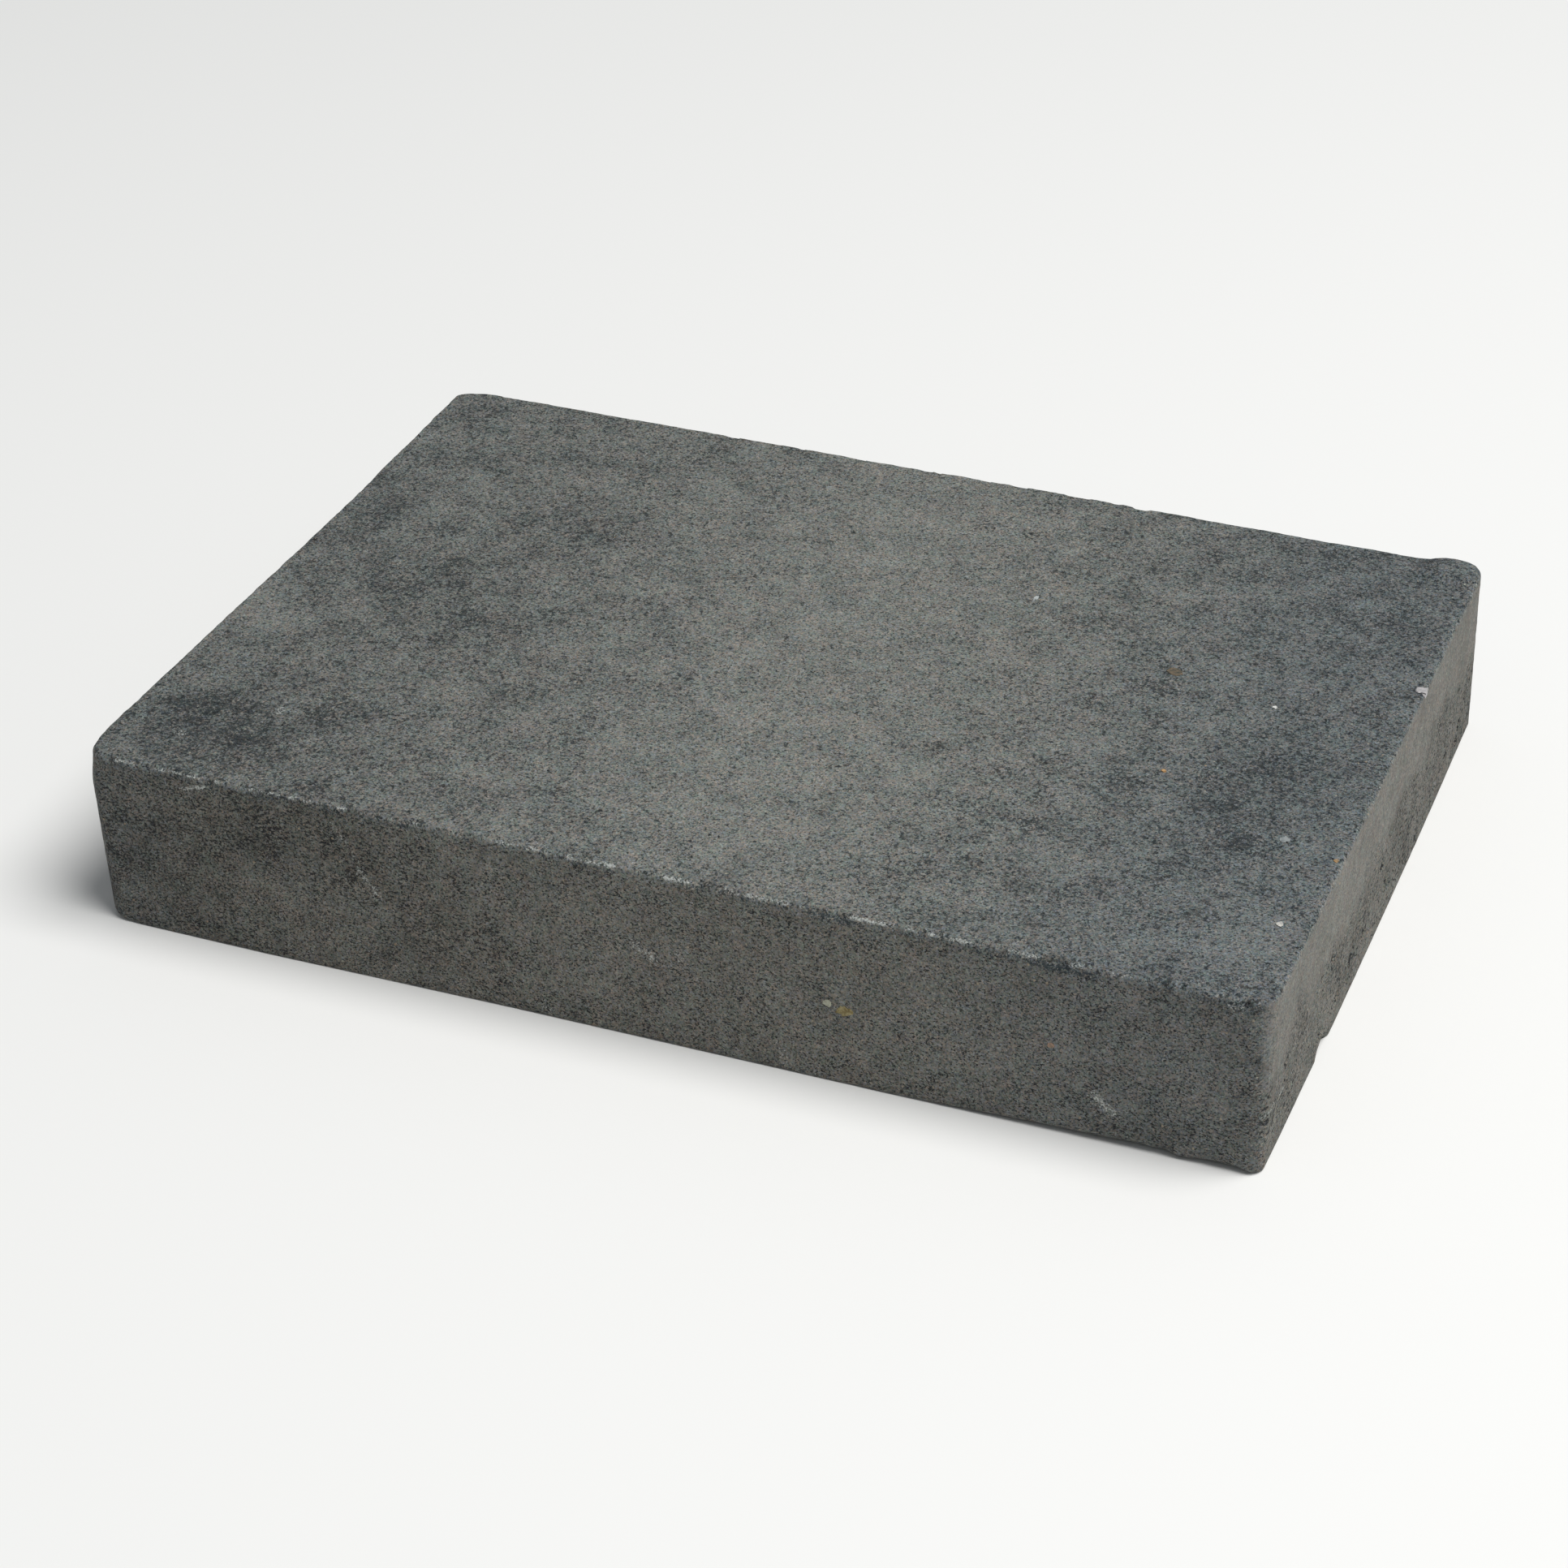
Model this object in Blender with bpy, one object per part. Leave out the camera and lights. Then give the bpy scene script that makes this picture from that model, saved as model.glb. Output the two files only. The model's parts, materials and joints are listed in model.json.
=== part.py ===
# Bench sharpening stone: one bonded abrasive block, worn at its corners and lower edges,
# with the few large mineral grains that show in its faces as solids of their own.
# Units are metres. +X runs along the stone, +Y away from its front side, +Z up.
# The origin is under the middle of the stone, on the surface that it rests on.

import math
import random

import bmesh
import bpy
from mathutils import Matrix
from mathutils import Vector

MM = 0.001

# Driving dimensions.
STONE_LENGTH = 200.0 * MM
STONE_WIDTH = STONE_LENGTH * 0.7064
STONE_HEIGHT = STONE_LENGTH * 0.1611
FIT_GAP = 0.36 * MM

# Upright corners, as the radius along X and along Y.
BACK_LEFT_RADIUS = (7.0 * MM, 3.0 * MM)
BACK_RIGHT_RADIUS = (4.5 * MM, 4.5 * MM)
FRONT_RIGHT_RADIUS = (4.0 * MM, 4.0 * MM)
FRONT_LEFT_RADIUS = (3.0 * MM, 3.0 * MM)
CORNER_STEPS = 6

# Softened top and bottom edges.
TOP_EDGE_RADIUS = 1.0 * MM
BOTTOM_EDGE_RADIUS = 0.8 * MM
EDGE_STEPS = 2

# Wear.
CORNER_WEAR_DEPTH = 2.6 * MM
CORNER_WEAR_HEIGHT = 8.2 * MM
FRONT_WEAR_START = 43.0 * MM
FRONT_WEAR_END = 85.5 * MM
FRONT_WEAR_RISE = 1.7 * MM
END_NOTCH_DEPTH = 1.2 * MM
END_NOTCH_RADII = Vector((2.2, 8.0, 3.0)) * MM
END_NOTCH_Y = -36.0 * MM
LEFT_CHIP_RADII = Vector((0.7, 2.6, 0.6)) * MM
LEFT_CHIP_Y = 28.8 * MM

# Ridge that the mould left standing on the back right corner.
RIDGE_RADII = Vector((5.8, 4.0, 1.3)) * MM
RIDGE_PLACE = Vector((93.8, 66.2, 31.8)) * MM

HALF_LENGTH = STONE_LENGTH / 2
HALF_WIDTH = STONE_WIDTH / 2

# How far the rounded front left corner already stands back from a sharp one.
ROUNDED_SETBACK = FRONT_LEFT_RADIUS[0] * (math.sqrt(2) - 1)

# Visible grains: place on the stone, radii along X, Y and Z, the faces that trim the grain
# flush, colour, and the seed of its broken outline.
TOP_FACE = ((0, 0, 1),)
FRONT_FACE = ((0, -1, 0),)
TOP_AND_END = ((0, 0, 1), (1, 0, 0))
GRAINS = {
    "ochre_pebble_front": {
        "x": 32.3, "side": "front", "z": 14.2, "radii": (1.9, 1.2, 0.95),
        "trim": FRONT_FACE, "colour": (0.23, 0.17, 0.07), "seed": 3},
    "pale_grain_front": {
        "x": 29.5, "side": "front", "z": 15.0, "radii": (0.85, 0.8, 0.75),
        "trim": FRONT_FACE, "colour": (0.30, 0.29, 0.22), "seed": 5},
    "quartz_grain_right_edge": {
        "x": 98.9, "side": "top", "y": 25.2, "radii": (1.3, 1.5, 1.2),
        "trim": TOP_AND_END, "colour": (0.45, 0.43, 0.42), "seed": 8},
    "quartz_grain_top_right": {
        "x": 95.0, "side": "top", "y": -49.6, "radii": (0.95, 1.0, 0.9),
        "trim": TOP_FACE, "colour": (0.55, 0.54, 0.50), "seed": 11},
    "pale_flat_grain_top": {
        "x": 89.7, "side": "top", "y": -26.8, "radii": (1.2, 0.95, 0.7),
        "trim": TOP_FACE, "colour": (0.29, 0.31, 0.31), "seed": 14},
    "white_grain_front_left": {
        "x": -85.3, "side": "front", "z": 13.5, "radii": (0.85, 0.8, 0.8),
        "trim": FRONT_FACE, "colour": (0.30, 0.30, 0.28), "seed": 17},
    "brown_grain_top": {
        "x": 58.9, "side": "top", "y": 16.7, "radii": (1.5, 1.3, 0.9),
        "trim": TOP_FACE, "colour": (0.16, 0.12, 0.07), "seed": 20},
    "white_chip_top": {
        "x": 77.7, "side": "top", "y": 11.4, "radii": (0.6, 0.45, 0.5),
        "trim": TOP_FACE, "colour": (0.60, 0.60, 0.58), "seed": 23},
    "orange_grain_top": {
        "x": 66.1, "side": "top", "y": -14.0, "radii": (0.6, 0.6, 0.6),
        "trim": TOP_FACE, "colour": (0.50, 0.27, 0.12), "seed": 26},
    "orange_grain_right_edge": {
        "x": 98.7, "side": "top", "y": -29.8, "radii": (0.6, 0.65, 0.6),
        "trim": TOP_FACE, "colour": (0.42, 0.24, 0.11), "seed": 29},
    "white_sliver_top": {
        "x": 29.1, "side": "top", "y": 32.4, "radii": (0.5, 0.95, 0.5),
        "trim": TOP_FACE, "colour": (0.46, 0.47, 0.46), "seed": 32},
    "rust_grain_front": {
        "x": 65.9, "side": "front", "z": 16.4, "radii": (0.75, 0.6, 0.55),
        "trim": FRONT_FACE, "colour": (0.24, 0.15, 0.10), "seed": 35},
}
GRAIN_DEPTH = 0.25
GRAIN_ROUGHNESS = 0.14


def clear_scene():
    for old in list(bpy.data.objects):
        bpy.data.objects.remove(old, do_unlink=True)
    for old in list(bpy.data.collections):
        bpy.data.collections.remove(old)


def make_collection(name):
    collection = bpy.data.collections.new(name)
    bpy.context.scene.collection.children.link(collection)
    return collection


def make_material(name, colour, roughness):
    material = bpy.data.materials.new(name)
    material.use_nodes = True
    shader = material.node_tree.nodes["Principled BSDF"]
    shader.inputs["Base Color"].default_value = (*colour, 1.0)
    shader.inputs["Roughness"].default_value = roughness
    shader.inputs["Metallic"].default_value = 0.0
    material.diffuse_color = (*colour, 1.0)
    return material


def object_from_bmesh(name, shape, collection):
    mesh = bpy.data.meshes.new(name)
    shape.to_mesh(mesh)
    shape.free()
    made = bpy.data.objects.new(name, mesh)
    collection.objects.link(made)
    return made


def mark_as_cutter(cutter):
    cutter.display_type = "WIRE"
    cutter.hide_render = True


def round_edges(shape, edges, radius, steps):
    bmesh.ops.bevel(
        shape, geom=edges, offset=radius, offset_type="OFFSET", segments=steps,
        profile=0.5, affect="EDGES", material=-1)


def round_upright_corner(shape, side_x, side_y, radii):
    # The corner is rounded to its larger radius, then squeezed to its smaller one.
    along_x, along_y = radii
    large = max(radii)
    edges = []
    for edge in shape.edges:
        middle = (edge.verts[0].co + edge.verts[1].co) / 2
        upright = abs(edge.verts[0].co.z - edge.verts[1].co.z) > STONE_HEIGHT / 2
        on_corner = middle.x * side_x > HALF_LENGTH - MM and middle.y * side_y > HALF_WIDTH - MM
        if upright and on_corner:
            edges.append(edge)
    round_edges(shape, edges, large, CORNER_STEPS)
    reach = large + 0.01 * MM
    for vert in shape.verts:
        inward_x = HALF_LENGTH - vert.co.x * side_x
        inward_y = HALF_WIDTH - vert.co.y * side_y
        if inward_x < reach and inward_y < reach:
            vert.co.x = side_x * (HALF_LENGTH - inward_x * along_x / large)
            vert.co.y = side_y * (HALF_WIDTH - inward_y * along_y / large)


def level_edges(shape, height):
    found = []
    for edge in shape.edges:
        if all(abs(vert.co.z - height) < 0.01 * MM for vert in edge.verts):
            found.append(edge)
    return found


def make_block(collection):
    shape = bmesh.new()
    bmesh.ops.create_cube(shape, size=1.0)
    bmesh.ops.scale(shape, vec=(STONE_LENGTH, STONE_WIDTH, STONE_HEIGHT), verts=shape.verts)
    bmesh.ops.translate(shape, vec=(0, 0, STONE_HEIGHT / 2), verts=shape.verts)
    round_upright_corner(shape, -1, 1, BACK_LEFT_RADIUS)
    round_upright_corner(shape, 1, 1, BACK_RIGHT_RADIUS)
    round_upright_corner(shape, 1, -1, FRONT_RIGHT_RADIUS)
    round_upright_corner(shape, -1, -1, FRONT_LEFT_RADIUS)
    round_edges(shape, level_edges(shape, STONE_HEIGHT), TOP_EDGE_RADIUS, EDGE_STEPS)
    round_edges(shape, level_edges(shape, 0.0), BOTTOM_EDGE_RADIUS, EDGE_STEPS)
    return object_from_bmesh("stone_body", shape, collection)


def make_ellipsoid(name, place, radii, collection):
    shape = bmesh.new()
    bmesh.ops.create_uvsphere(shape, u_segments=16, v_segments=8, radius=1.0)
    bmesh.ops.scale(shape, vec=radii, verts=shape.verts)
    bmesh.ops.translate(shape, vec=place, verts=shape.verts)
    made = object_from_bmesh(name, shape, collection)
    mark_as_cutter(made)
    return made


def make_slanted_box(name, edge_point, along, outward, size, collection):
    # A box whose lower face lies in the plane through edge_point that faces outward.
    # It starts at edge_point and runs along the given direction.
    lift = Vector(outward).normalized()
    run = Vector(along).normalized()
    across = lift.cross(run)
    length, breadth, thickness = size
    shape = bmesh.new()
    bmesh.ops.create_cube(shape, size=1.0)
    bmesh.ops.scale(shape, vec=size, verts=shape.verts)
    bmesh.ops.translate(shape, vec=(length / 2, 0, thickness / 2), verts=shape.verts)
    turn = Matrix((run, across, lift)).transposed().to_4x4()
    bmesh.ops.transform(shape, matrix=Matrix.Translation(edge_point) @ turn, verts=shape.verts)
    made = object_from_bmesh(name, shape, collection)
    mark_as_cutter(made)
    return made


def make_corner_wear_cutter(collection):
    # A flat rubbed off the front left corner: deepest at the top, fading out below.
    slope = math.atan2(CORNER_WEAR_DEPTH - ROUNDED_SETBACK, CORNER_WEAR_HEIGHT)
    diagonal = Vector((-1, -1, 0)).normalized()
    outward = diagonal * math.cos(slope) + Vector((0, 0, 1)) * math.sin(slope)
    sideways = Vector((1, -1, 0)).normalized()
    length = 16 * MM
    corner = Vector((-HALF_LENGTH, -HALF_WIDTH, STONE_HEIGHT))
    start = corner - diagonal * CORNER_WEAR_DEPTH - sideways * length / 2
    return make_slanted_box(
        "corner_wear_cutter", start, sideways, outward, (length, 30 * MM, 8 * MM), collection)


def make_front_wear_cutter(collection):
    # The lower front edge is rubbed away along a line that rises slowly to the right.
    length = FRONT_WEAR_END - FRONT_WEAR_START
    along = Vector((length, 0, FRONT_WEAR_RISE))
    slant = Vector((0, 1, -1))
    outward = slant.cross(along)
    start = Vector((FRONT_WEAR_START, -HALF_WIDTH, 0))
    return make_slanted_box(
        "front_wear_cutter", start, along, outward, (length, 16 * MM, 6 * MM), collection)


def make_end_notch_cutter(collection):
    place = Vector((HALF_LENGTH - END_NOTCH_DEPTH + END_NOTCH_RADII.x, END_NOTCH_Y, 0))
    return make_ellipsoid("end_notch_cutter", place, END_NOTCH_RADII, collection)


def make_left_chip_cutter(collection):
    place = Vector((-HALF_LENGTH, LEFT_CHIP_Y, STONE_HEIGHT))
    return make_ellipsoid("left_chip_cutter", place, LEFT_CHIP_RADII, collection)


def grain_place(grain):
    # The middle of a grain lies a little under the face, so that the body holds it.
    radii = Vector(grain["radii"]) * MM
    if grain["side"] == "top":
        height = STONE_HEIGHT - GRAIN_DEPTH * radii.z
        return Vector((grain["x"] * MM, grain["y"] * MM, height))
    inset = -HALF_WIDTH + GRAIN_DEPTH * radii.y
    return Vector((grain["x"] * MM, inset, grain["z"] * MM))


def broken_ball(grain, extra):
    # A ball with uneven facets. The same seed gives the grain and the socket around it.
    dice = random.Random(grain["seed"])
    radii = Vector(grain["radii"]) * MM
    shape = bmesh.new()
    bmesh.ops.create_icosphere(shape, subdivisions=2, radius=1.0)
    for vert in shape.verts:
        outward = vert.co.normalized()
        uneven = 1.0 - GRAIN_ROUGHNESS * dice.random()
        vert.co = outward * uneven * radii + outward * extra
    bmesh.ops.translate(shape, vec=grain_place(grain), verts=shape.verts)
    return shape


def trim_flush(shape, normal):
    outward = Vector(normal)
    half_size = Vector((HALF_LENGTH, HALF_WIDTH, STONE_HEIGHT / 2))
    face_point = Vector((0, 0, STONE_HEIGHT / 2)) + half_size * outward
    geometry = shape.verts[:] + shape.edges[:] + shape.faces[:]
    bmesh.ops.bisect_plane(
        shape, geom=geometry, dist=0.001 * MM, plane_co=face_point, plane_no=outward,
        clear_outer=True)
    rim = [edge for edge in shape.edges if edge.is_boundary]
    bmesh.ops.contextual_create(shape, geom=rim)


def make_grain(name, grain, collection):
    shape = broken_ball(grain, 0.0)
    for normal in grain["trim"]:
        trim_flush(shape, normal)
    bmesh.ops.recalc_face_normals(shape, faces=shape.faces)
    made = object_from_bmesh(name, shape, collection)
    made.data.materials.append(make_material(name, grain["colour"], 0.55))
    return made


def make_socket_cutter(name, grain, collection):
    cutter = object_from_bmesh(name + "_socket", broken_ball(grain, FIT_GAP), collection)
    mark_as_cutter(cutter)
    return cutter


def add_boolean(body, tool, operation):
    change = body.modifiers.new(tool.name, "BOOLEAN")
    change.operation = operation
    change.solver = "EXACT"
    change.object = tool


def build():
    clear_scene()
    parts = make_collection("sharpening_whetstone")
    tools = make_collection("cutters")
    body = make_block(parts)
    body.data.materials.append(make_material("stone_body", (0.150, 0.152, 0.145), 0.92))
    ridge = make_ellipsoid("corner_ridge", RIDGE_PLACE, RIDGE_RADII, tools)
    add_boolean(body, ridge, "UNION")
    add_boolean(body, make_corner_wear_cutter(tools), "DIFFERENCE")
    add_boolean(body, make_front_wear_cutter(tools), "DIFFERENCE")
    add_boolean(body, make_end_notch_cutter(tools), "DIFFERENCE")
    add_boolean(body, make_left_chip_cutter(tools), "DIFFERENCE")
    for name, grain in GRAINS.items():
        make_grain(name, grain, parts)
        add_boolean(body, make_socket_cutter(name, grain, tools), "DIFFERENCE")


build()
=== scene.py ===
import json
import math
import random

import bmesh
import bpy
import numpy as np
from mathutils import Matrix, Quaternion, Vector, noise


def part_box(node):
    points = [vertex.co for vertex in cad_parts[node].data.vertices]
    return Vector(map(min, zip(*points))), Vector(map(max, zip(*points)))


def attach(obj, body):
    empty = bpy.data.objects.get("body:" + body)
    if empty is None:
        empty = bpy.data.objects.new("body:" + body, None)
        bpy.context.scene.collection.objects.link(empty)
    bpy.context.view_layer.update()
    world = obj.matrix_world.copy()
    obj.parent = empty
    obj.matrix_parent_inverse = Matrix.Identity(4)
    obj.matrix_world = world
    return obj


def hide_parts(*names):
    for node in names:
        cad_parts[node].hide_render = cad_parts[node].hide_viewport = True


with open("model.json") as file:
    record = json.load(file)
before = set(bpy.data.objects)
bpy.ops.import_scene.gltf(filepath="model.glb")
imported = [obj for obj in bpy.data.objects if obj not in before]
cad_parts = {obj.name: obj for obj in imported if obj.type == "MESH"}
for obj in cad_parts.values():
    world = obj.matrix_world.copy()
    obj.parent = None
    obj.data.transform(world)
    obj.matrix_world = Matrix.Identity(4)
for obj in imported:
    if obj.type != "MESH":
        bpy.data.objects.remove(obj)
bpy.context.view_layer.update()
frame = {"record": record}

mm = 0.001

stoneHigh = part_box("stone_body")[1]
halfLength = stoneHigh.x
halfWidth = stoneHigh.y
mountSpots = {mount["name"]: mount["pos_m"] for mount in frame["record"]["mounts"]}
topHeight = mountSpots["honing_face"][2]  # without the ridge on one corner


# small helpers

def hexColour(text):
    # sRGB hex to the linear values that a shader wants
    linear = []
    for start in (1, 3, 5):
        part = int(text[start:start + 2], 16) / 255
        linear.append(part / 12.92 if part <= 0.04045 else ((part + 0.055) / 1.055) ** 2.4)
    return (*linear, 1.0)


def addNode(tree, kind, settings=(), stops=()):
    # one node: a setting is a property or an input, and takes a value, a hex colour,
    # another node or one of its outputs; stops are the colours of a ramp
    node = tree.nodes.new("ShaderNode" + kind)
    for name, value in dict(settings).items():
        if isinstance(value, bpy.types.Node):
            value = next(output for output in value.outputs if output.enabled)
        if isinstance(name, str) and hasattr(node, name):
            setattr(node, name, value)
        elif isinstance(value, bpy.types.NodeSocket):
            tree.links.new(value, node.inputs[name])
        elif isinstance(value, str):
            node.inputs[name].default_value = hexColour(value)
        else:
            node.inputs[name].default_value = value
    for number, (spot, colour) in enumerate(stops):
        ramp = node.color_ramp.elements
        stop = ramp[number] if number < 2 else ramp.new(spot)
        stop.position = spot
        stop.color = hexColour(colour)
    return node


def newMaterial(name):
    material = bpy.data.materials.new(name)
    material.use_nodes = True
    return material, material.node_tree, material.node_tree.nodes["Principled BSDF"]


def smoothStep(values):
    held = np.clip(values, 0, 1)
    return held * held * (3 - 2 * held)


def wobble(places, size, seed):
    # smooth noise from -1 to 1 whose lumps are about size wide
    shifted = places / size + seed
    return np.array([noise.noise(spot) for spot in shifted])


def showPiece(name, shape, material, node):
    mesh = bpy.data.meshes.new(name)
    shape.to_mesh(mesh)
    shape.free()
    piece = bpy.data.objects.new(name, mesh)
    bpy.context.scene.collection.objects.link(piece)
    mesh.materials.append(material)
    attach(piece, "root")
    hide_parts(node)
    return piece


# camera, light and floor

studio = {
    "cameraSpot": (198.56 * mm, -505.30 * mm, 353.67 * mm),
    "cameraAim": (0.4 * mm, -15.6 * mm, 16.0 * mm),
    "cameraRoll": -0.83,
    "lens": 84.9,
    "keyFrom": (0.40, -0.03, 0.90),
    "keyDistance": 2.0,
    "keySize": 1.3,
    "keyPower": 39.0,
    "skyLight": "#e6ecf2",
    "skyStrength": 0.28,
    "horizon": "#eeeeec",
    "floorColour": "#f2f1ee",
    "floorRadius": 6.0,
}


def makeCamera():
    camera = bpy.data.objects.new("camera", bpy.data.cameras.new("camera"))
    bpy.context.scene.collection.objects.link(camera)
    spot = Vector(studio["cameraSpot"])
    turn = (Vector(studio["cameraAim"]) - spot).to_track_quat("-Z", "Y")
    roll = Quaternion((0, 0, 1), math.radians(studio["cameraRoll"]))
    camera.location = spot
    camera.rotation_euler = (turn @ roll).to_euler()
    camera.data.lens = studio["lens"]
    camera.data.sensor_width = 36
    camera.data.clip_start = 10 * mm
    camera.data.clip_end = 50
    bpy.context.scene.camera = camera
    print("camera:", studio["lens"], "mm lens")


def makeLights():
    key = bpy.data.lights.new("keySoftbox", "AREA")
    key.shape = "DISK"
    key.size = studio["keySize"]
    key.energy = studio["keyPower"]
    lamp = bpy.data.objects.new("keySoftbox", key)
    bpy.context.scene.collection.objects.link(lamp)
    towards = Vector(studio["keyFrom"]).normalized()
    lamp.location = towards * studio["keyDistance"]
    lamp.rotation_euler = towards.to_track_quat("Z", "Y").to_euler()
    world = bpy.data.worlds.new("paleStudio")
    bpy.context.scene.world = world
    world.use_nodes = True
    tree = world.node_tree
    sky = tree.nodes["Background"]
    sky.inputs["Color"].default_value = hexColour(studio["skyLight"])
    sky.inputs["Strength"].default_value = studio["skyStrength"]
    seen = addNode(tree, "Background", {"Color": studio["horizon"], "Strength": 1.0})
    rays = addNode(tree, "LightPath")
    both = addNode(tree, "MixShader", {0: rays.outputs["Is Camera Ray"], 1: sky, 2: seen})
    tree.links.new(both.outputs[0], tree.nodes["World Output"].inputs["Surface"])
    bpy.context.scene.view_settings.view_transform = "Standard"
    print("key light:", studio["keyPower"], "W softbox, with an even sky")


def makeFloor():
    shape = bmesh.new()
    bmesh.ops.create_circle(shape, cap_ends=True, segments=96, radius=studio["floorRadius"])
    mesh = bpy.data.meshes.new("studioFloor")
    shape.to_mesh(mesh)
    shape.free()
    floor = bpy.data.objects.new("studioFloor", mesh)
    bpy.context.scene.collection.objects.link(floor)
    material, tree, shader = newMaterial("mattPaper")
    shader.inputs["Base Color"].default_value = hexColour(studio["floorColour"])
    shader.inputs["Roughness"].default_value = 0.9
    shader.inputs["Specular IOR Level"].default_value = 0.1
    mesh.materials.append(material)
    print("studio floor:", studio["floorRadius"], "m in radius")


# the stone block

stone = {
    "fineCell": 0.40 * mm,  # mesh step beside the edges
    "coarseCell": 0.88 * mm,  # mesh step in the middle of a face
    "fineBand": 4.5 * mm,
    "rimRadius": 0.7 * mm,
    "footRadius": 0.5 * mm,
    "cornerWear": 0.75 * mm,
    "cornerWearHeight": 6.5 * mm,
    "cornerWearReach": 6 * mm,
    "ridge": {
        "place": (94.8, 67.2), "size": (6.1, 4.6), "height": 1.0 * mm, "push": 0.8 * mm, "deep": 3.5 * mm},
    "undulation": 0.06 * mm,
    "roughness": 0.05 * mm,
    "endNotch": ((101.0, -35.6, 0.0), (2.0, 4.6, 3.0)),  # middle and radii of the bite in mm
    "leftChip": ((-101.4, 28.8, 32.2), (0.8, 2.2, 0.7)),
    "edgeChips": {"front": 34, "back": 26, "right": 22, "left": 22},  # at the top, and again at the foot
    "endPits": 80,
}

# corner radii in the plan, along x and y: at the top, then at the foot
cornerRadii = {
    (-1, 1): ((8.0, 3.3), (8.0, 3.3)),
    (1, 1): ((3.7, 3.7), (2.2, 2.2)),
    (1, -1): ((4.0, 4.0), (2.4, 2.4)),
    (-1, -1): ((3.0, 3.0), (3.2, 3.2)),
}

# how far each side bows out of a straight line: place along the side and distance, top then foot
sideBows = {
    "left": (
        [(-70, 1.95), (-58, 1.95), (-42, 1.73), (-18, 1.31), (6, 0.93),
         (24, 0.72), (28, 0.72), (34, 0.95), (70, 1.1)],
        [(-70, 0.4), (70, 0.3)]),
    "back": (
        [(-100, 1.05), (-87, 0.9), (-51, 0.76), (21, 0.6), (33, 0.36),
         (45, 0.08), (63, -0.28), (87, -0.54), (100, -0.54)],
        [(-100, 0.6), (60, 0.6), (100, 0.9)]),
    "right": (
        [(-70, 0.0), (70, 0.0)],
        [(-70, -0.4), (-60, -0.24), (-43, -0.1), (-28, 0.18),
         (0, 0.26), (25, 0.26), (48, 0.14), (70, -0.05)]),
    "front": (
        [(-100, 0.0), (100, 0.0)],
        [(-100, 0.45), (-70, 0.6), (-50, 0.35), (-25, 0.05), (100, 0.0)]),
}

# radius of the lower front edge, which is rubbed away towards the right: place along the stone, radius
footWear = [
    (-100, 2.2), (-97, 1.2), (-94, 0.4), (-60, 0.35), (38, 0.4), (45, 0.75), (51, 1.15), (60, 1.8), (72, 2.6),
    (81.2, 3.15), (82.8, 2.75), (84.2, 3.2), (87.2, 1.5), (90.5, 2.6), (96, 2.75), (98.5, 1.4), (100, 1.0)]

# dark bites in the upper front edge: place along the stone and size
frontNicks = [
    (-78.6, 1.6), (-97.0, 1.0), (28.0, 1.6), (31.0, 1.9), (57.4, 1.2), (64.8, 1.8), (66.6, 1.5),
    (83.0, 1.0), (86.4, 1.1), (95.4, 1.5), (-52.5, 1.0), (-33.0, 1.0), (8.0, 1.1), (41.0, 0.9)]

# pale crumbled lengths of the upper front edge: start, end, strength
frontFlakes = [
    (-96, -92, 0.8), (-89, -76, 0.8), (-73, -65, 0.8), (-64, -59, 0.6), (-55, -52, 0.9), (-44, -40, 0.7),
    (-34, -31, 0.4), (-27, -23, 0.8), (-21, -19, 0.8), (-15, -6, 0.9), (2, 6, 1.1), (12, 23, 0.9),
    (30, 39, 1.1), (39, 47, 0.8), (48, 53, 0.9), (58, 66, 0.8), (67, 71, 0.6), (74, 79, 0.4), (88, 94, 0.3)]

# lengths just below the upper front edge that get a band of painted shade, drawn as crowded dark grit
frontShadows = [
    (-80, -76, 0.6), (-58, -54, 0.6), (-14, -6, 0.5), (3, 10, 0.5), (26, 35, 0.9), (38, 50, 0.4),
    (53, 60, 0.7), (62, 73, 1.0), (80, 92, 0.5), (93, 99, 0.6)]

# darker (below 0) and lighter (above 0) areas of the top: x, y, radius, strength
topStains = [
    (-88, -52, 10, -0.45), (-86, -62, 18, -0.45), (-72, -48, 15, -0.3), (-72, -2, 13, -0.35),
    (-58, -12, 12, -0.3), (-96, 26, 8, -0.5), (-98, 8, 9, -0.3), (-54, 26, 10, -0.3),
    (-91, 65, 6, -0.3), (81, -25, 9, -0.4), (80, -37, 6, -0.4), (79, -9, 10, -0.35), (90, -3, 9, -0.35),
    (84, 60, 12, -0.25), (62, 62, 8, -0.25), (92, 38, 18, -0.2), (38, -53, 8, -0.3),
    (0, 10, 36, 0.6), (8, -45, 32, 0.65), (0, 55, 28, 0.5), (-37, 50, 9, 0.3), (-57, -32, 5, 0.4),
    (-42, -52, 5, 0.35), (-96, -19, 8, 0.6), (92, -55, 10, 0.45), (41, 10, 6, 0.4), (52, -10, 5, 0.4)]

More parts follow.
